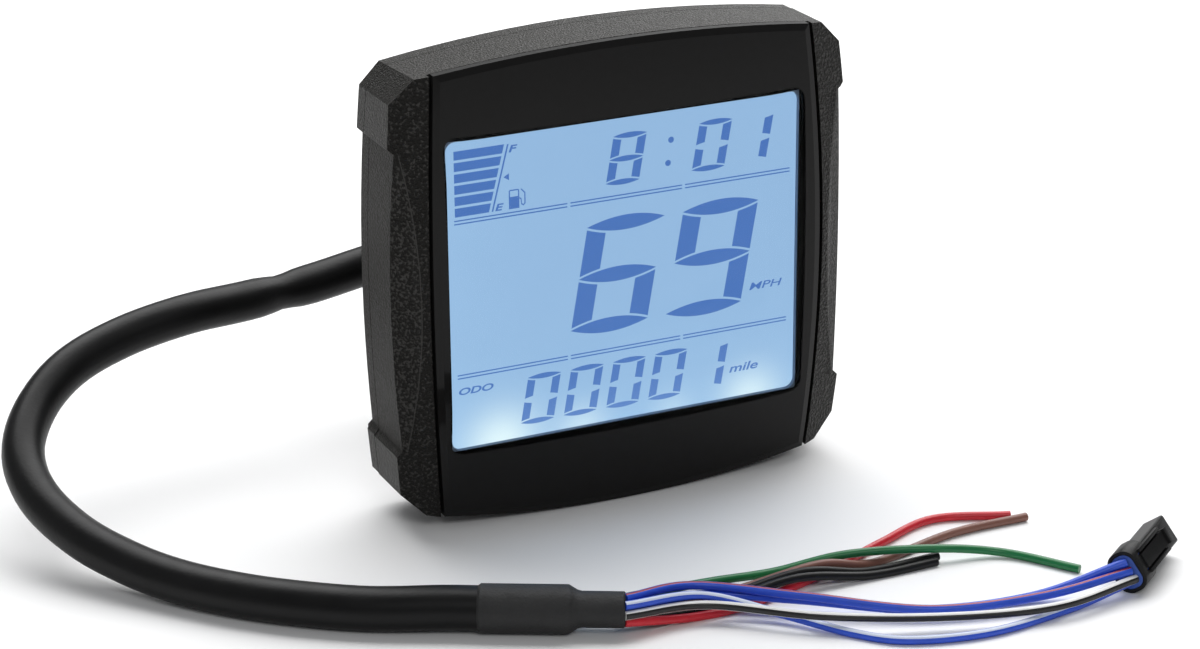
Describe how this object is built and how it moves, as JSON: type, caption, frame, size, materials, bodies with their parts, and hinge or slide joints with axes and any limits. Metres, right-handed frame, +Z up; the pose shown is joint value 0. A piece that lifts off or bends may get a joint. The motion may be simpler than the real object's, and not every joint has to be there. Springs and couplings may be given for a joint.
{
  "type": "motorcycle instrument cluster",
  "caption": "Square motorcycle gauge with a domed lens over a segment display, rear push buttons, stud mounts, and a sleeved cable that fans into loose wires and a plug.",
  "frame": {"origin": "middle of the two mounting studs, on the flat back face of the housing", "axes": "+Z up, display faces -Y, studs and cable leave along +Y, X across the display"},
  "size_m": [0.1977, 0.1529, 0.0944],
  "materials": {
    "case_plastic": "fine moulded grain, satin",
    "seal_rubber": "matte",
    "zinc_steel": "zinc plated",
    "lens_acrylic": "polished clear acrylic",
    "polariser_film": "clear film",
    "display_glass": "polished",
    "diffuser": "matte white film",
    "lit_acrylic": "lit edge-on, pale blue",
    "white_plastic": "satin",
    "zebra_rubber": "matte",
    "board_laminate": "green solder mask",
    "chip_plastic": "matte",
    "can_metal": "brushed",
    "lead_pvc": "smooth",
    "brass_contact": "plated",
    "button_rubber": "matte",
    "grommet_pvc": "satin",
    "sleeve_pvc": "smooth semi-gloss",
    "shrink_tube": "matte",
    "wire_red": "smooth",
    "wire_brown": "smooth",
    "wire_green": "smooth",
    "wire_black": "smooth",
    "wire_blue": "smooth",
    "wire_white": "smooth",
    "plug_plastic": "satin",
    "seal_blue": "satin"
  },
  "bodies": {
    "housing": {"front_case": "case_plastic", "rear_case": "case_plastic", "case_gasket": "seal_rubber", "case_screws": "zinc_steel", "mount_studs": "zinc_steel", "lens": "lens_acrylic", "lcd_front_polariser": "polariser_film", "lcd_front_glass": "display_glass", "lcd_rear_glass": "display_glass", "lcd_rear_polariser": "polariser_film", "diffuser_sheet": "diffuser", "light_guide": "lit_acrylic", "reflector_sheet": "white_plastic", "backlight_leds": "white_plastic", "lcd_frame": "white_plastic", "contact_strips": "zebra_rubber", "circuit_board": "board_laminate", "microcontroller": "chip_plastic", "voltage_regulator": "chip_plastic", "quartz_crystal": "can_metal", "capacitors": "can_metal", "wire_header": "white_plastic", "inner_leads": "lead_pvc", "switch_bodies": "chip_plastic", "cable_grommet": "grommet_pvc", "cable_sleeve": "sleeve_pvc", "heat_shrink": "shrink_tube", "wire_red": "wire_red", "wire_brown": "wire_brown", "wire_green": "wire_green", "wire_black_a": "wire_black", "wire_black_b": "wire_black", "wire_blue": "wire_blue", "wire_blue_red": "wire_blue", "wire_blue_white": "wire_blue", "wire_white_black": "wire_white", "plug_housing": "plug_plastic", "plug_seal": "seal_blue", "plug_terminals": "brass_contact"},
    "select_key": {"select_button": "button_rubber", "select_plunger": "brass_contact"},
    "adjust_key": {"adjust_button": "button_rubber", "adjust_plunger": "brass_contact"}
  },
  "joints": [
    {"name": "select_press", "type": "slide", "parent": "housing", "child": "select_key", "axis": [0, -1, 0], "range_m": [0, 0.0008], "stiffness_N_per_m": 600, "springref_m": -0.0005},
    {"name": "adjust_press", "type": "slide", "parent": "housing", "child": "adjust_key", "axis": [0, -1, 0], "range_m": [0, 0.0008], "stiffness_N_per_m": 600, "springref_m": -0.0005}
  ]
}
